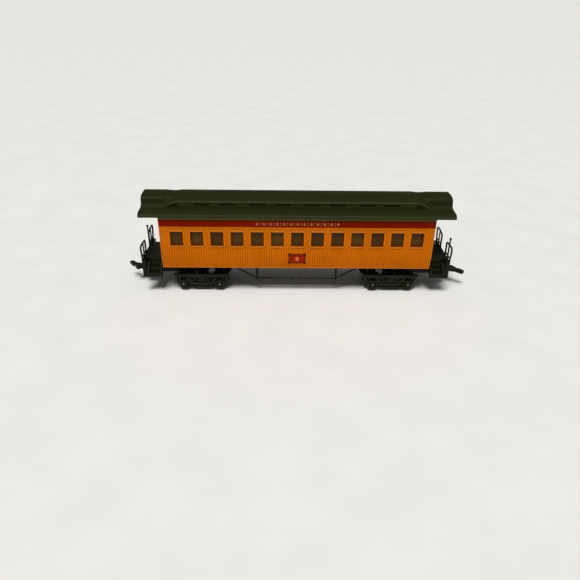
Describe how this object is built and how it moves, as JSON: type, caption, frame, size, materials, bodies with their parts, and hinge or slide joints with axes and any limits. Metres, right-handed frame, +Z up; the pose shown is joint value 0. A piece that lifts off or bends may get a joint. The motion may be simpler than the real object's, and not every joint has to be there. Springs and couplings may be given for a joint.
{
  "type": "model passenger coach",
  "caption": "Model of an old-time passenger coach: boarded body with side windows, clerestory roof, open end platforms with steps and railings, and swivelling four-wheel trucks with couplers.",
  "frame": {"origin": "on the rail-side centre line under the middle of the coach, at the bottom of the wheel flanges", "axes": "+X along the coach towards end A, +Y to its left side, +Z up"},
  "size_m": [0.1984, 0.036, 0.0551],
  "materials": {
    "orange_plastic": "moulded orange body with printed red letterboard",
    "olive_plastic": "satin dark olive",
    "black_plastic": "moulded satin black",
    "clear_plastic": "clear styrene",
    "steel": "turned steel"
  },
  "bodies": {
    "wheelset_a_inner": {"axle_a_inner": "steel", "wheel_a_inner_left": "black_plastic", "wheel_a_inner_right": "black_plastic"},
    "wheelset_a_outer": {"axle_a_outer": "steel", "wheel_a_outer_left": "black_plastic", "wheel_a_outer_right": "black_plastic"},
    "wheelset_b_inner": {"axle_b_inner": "steel", "wheel_b_inner_left": "black_plastic", "wheel_b_inner_right": "black_plastic"},
    "wheelset_b_outer": {"axle_b_outer": "steel", "wheel_b_outer_left": "black_plastic", "wheel_b_outer_right": "black_plastic"},
    "coach": {"ballast_weight": "steel", "body_shell": "orange_plastic", "brake_staff_a": "black_plastic", "brake_staff_b": "black_plastic", "end_glazing_a": "clear_plastic", "end_glazing_b": "clear_plastic", "kingpin_a": "black_plastic", "kingpin_b": "black_plastic", "platform_a": "black_plastic", "platform_b": "black_plastic", "railing_a_left": "black_plastic", "railing_a_right": "black_plastic", "railing_b_left": "black_plastic", "railing_b_right": "black_plastic", "roof": "olive_plastic", "side_glazing_left": "clear_plastic", "side_glazing_right": "clear_plastic", "steps_a_left": "black_plastic", "steps_a_right": "black_plastic", "steps_b_left": "black_plastic", "steps_b_right": "black_plastic", "truss_rod_left": "black_plastic", "truss_rod_right": "black_plastic", "underframe": "black_plastic"},
    "coupler_a": {"coupler_a": "black_plastic"},
    "coupler_b": {"coupler_b": "black_plastic"},
    "truck_a": {"coupler_cover_a": "black_plastic", "truck_a_bolster": "black_plastic", "truck_a_frame_left": "black_plastic", "truck_a_frame_right": "black_plastic"},
    "truck_b": {"coupler_cover_b": "black_plastic", "truck_b_bolster": "black_plastic", "truck_b_frame_left": "black_plastic", "truck_b_frame_right": "black_plastic"}
  },
  "joints": [
    {"name": "truck_a_swivel", "type": "hinge", "parent": "coach", "child": "truck_a", "pos_m": [0.0544, 0, 0.0136], "axis": [0, 0, 1], "range_deg": [-12, 12]},
    {"name": "wheelset_a_inner_spin", "type": "hinge", "parent": "truck_a", "child": "wheelset_a_inner", "pos_m": [0.0441, 0, 0.0055], "axis": [0, 1, 0], "continuous": true},
    {"name": "wheelset_a_outer_spin", "type": "hinge", "parent": "truck_a", "child": "wheelset_a_outer", "pos_m": [0.0647, 0, 0.0055], "axis": [0, 1, 0], "continuous": true},
    {"name": "coupler_a_swing", "type": "hinge", "parent": "truck_a", "child": "coupler_a", "pos_m": [0.0839, 0, 0.00905], "axis": [0, 0, 1], "range_deg": [-10, 10], "stiffness_Nm_per_rad": 0.0002},
    {"name": "truck_b_swivel", "type": "hinge", "parent": "coach", "child": "truck_b", "pos_m": [-0.0544, 0, 0.0136], "axis": [0, 0, 1], "range_deg": [-12, 12]},
    {"name": "wheelset_b_inner_spin", "type": "hinge", "parent": "truck_b", "child": "wheelset_b_inner", "pos_m": [-0.0441, 0, 0.0055], "axis": [0, 1, 0], "continuous": true},
    {"name": "wheelset_b_outer_spin", "type": "hinge", "parent": "truck_b", "child": "wheelset_b_outer", "pos_m": [-0.0647, 0, 0.0055], "axis": [0, 1, 0], "continuous": true},
    {"name": "coupler_b_swing", "type": "hinge", "parent": "truck_b", "child": "coupler_b", "pos_m": [-0.0839, 0, 0.00905], "axis": [0, 0, 1], "range_deg": [-10, 10], "stiffness_Nm_per_rad": 0.0002}
  ]
}
